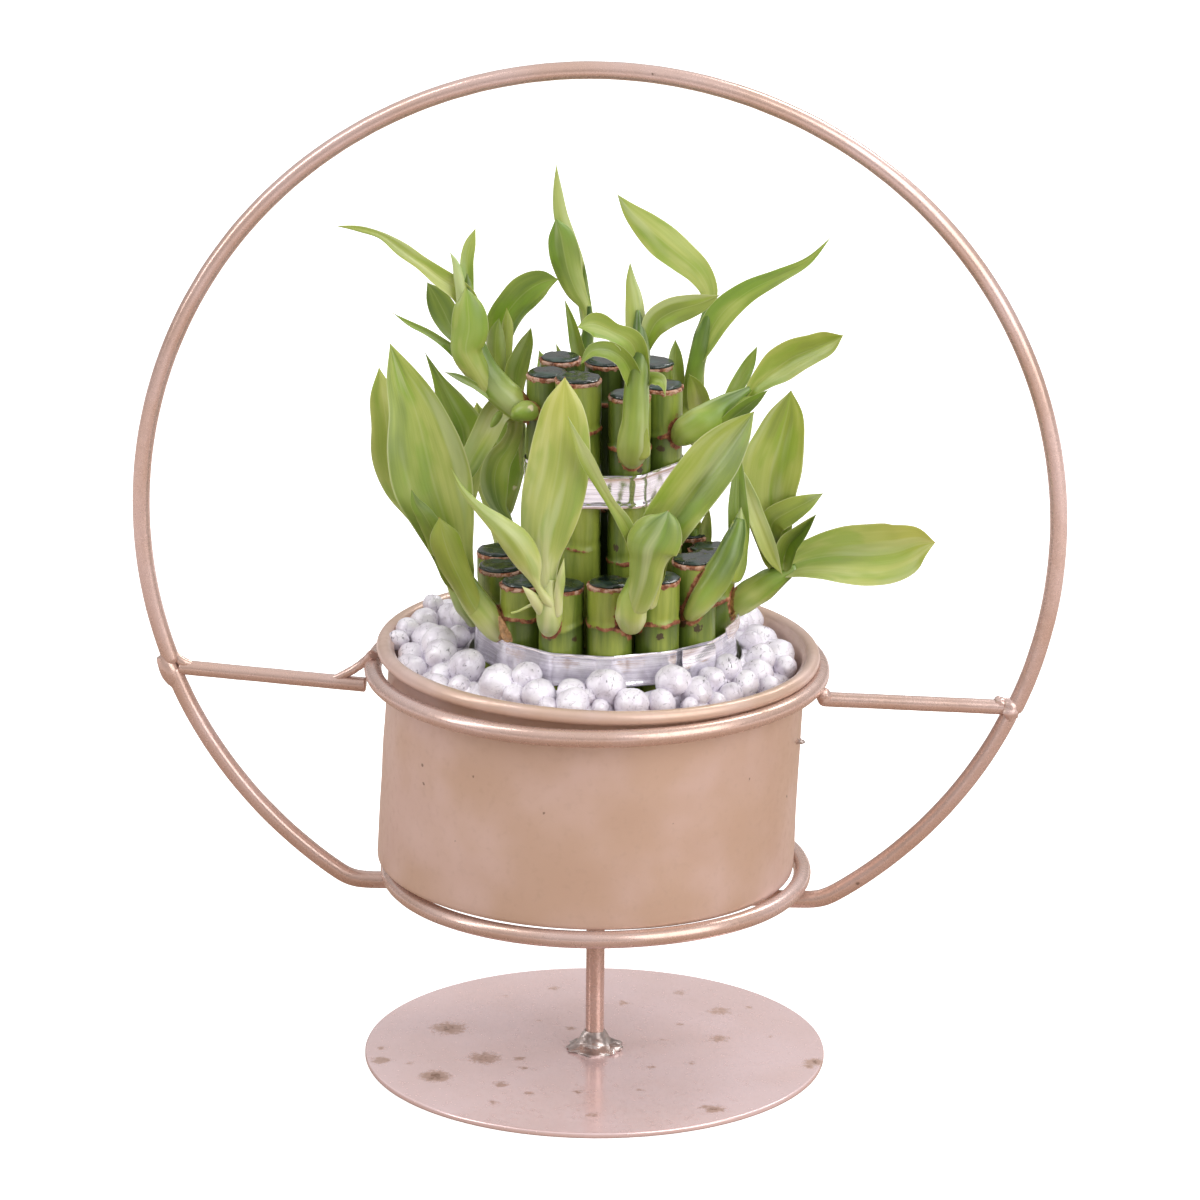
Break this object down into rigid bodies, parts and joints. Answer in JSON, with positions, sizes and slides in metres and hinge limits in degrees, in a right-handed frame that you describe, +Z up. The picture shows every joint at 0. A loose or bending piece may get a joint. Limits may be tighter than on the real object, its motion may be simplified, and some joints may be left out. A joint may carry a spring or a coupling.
{
  "type": "lucky bamboo in a pot on a hoop stand",
  "caption": "Two tiers of cut bamboo-like canes with leafy shoots, tied with silver ribbon in a bead-filled metal pot, carried by a round rod hoop on a disc base.",
  "frame": {"origin": "centre of the underside of the base plate", "axes": "+Z up along the stem, the hoop lies in the XZ plane, the front faces -Y"},
  "size_m": [0.2494, 0.125, 0.2767],
  "materials": {
    "stand_paint": "champagne metallic paint on round rod, soft gloss",
    "plate_paint": "rose-beige gloss paint on sheet metal with a few rust spots",
    "weld_metal": "rough weld bead, thinly painted",
    "pot_paint": "champagne metallic paint on sheet metal, satin",
    "white_beads": "pearly white coating with small chips",
    "silver_ribbon": "metallised mirror-silver film",
    "cane": "living green stalk, waxy, brown node scars, dark wax on the cut top",
    "leaf": "living leaf, soft waxy sheen"
  },
  "bodies": {
    "root": {"base_plate": "plate_paint", "bead_bed": "white_beads", "hoop_arc": "stand_paint", "left_arm": "stand_paint", "left_leg": "stand_paint", "lower_band": "silver_ribbon", "lower_cane_01": "cane", "lower_cane_02": "cane", "lower_cane_03": "cane", "lower_cane_04": "cane", "lower_cane_05": "cane", "lower_cane_06": "cane", "lower_cane_07": "cane", "lower_cane_08": "cane", "lower_cane_09": "cane", "lower_cane_10": "cane", "lower_cane_11": "cane", "lower_cane_12": "cane", "lower_cane_13": "cane", "lower_cane_14": "cane", "lower_ring": "stand_paint", "pot": "pot_paint", "right_arm": "stand_paint", "right_leg": "stand_paint", "shoot_back": "leaf", "shoot_back_left": "leaf", "shoot_front_left": "leaf", "shoot_front_right": "leaf", "shoot_left": "leaf", "shoot_left_back": "leaf", "shoot_right": "leaf", "shoot_right_back": "leaf", "shoot_right_outer": "leaf", "shoot_upper_back": "leaf", "shoot_upper_front": "leaf", "shoot_upper_left": "leaf", "shoot_upper_left_back": "leaf", "shoot_upper_left_low": "leaf", "shoot_upper_right": "leaf", "shoot_upper_right_back": "leaf", "stem_rod": "stand_paint", "stem_weld": "weld_metal", "upper_band": "silver_ribbon", "upper_cane_01": "cane", "upper_cane_02": "cane", "upper_cane_03": "cane", "upper_cane_04": "cane", "upper_cane_05": "cane", "upper_cane_06": "cane", "upper_cane_07": "cane", "upper_ring": "stand_paint"}
  },
  "joints": []
}
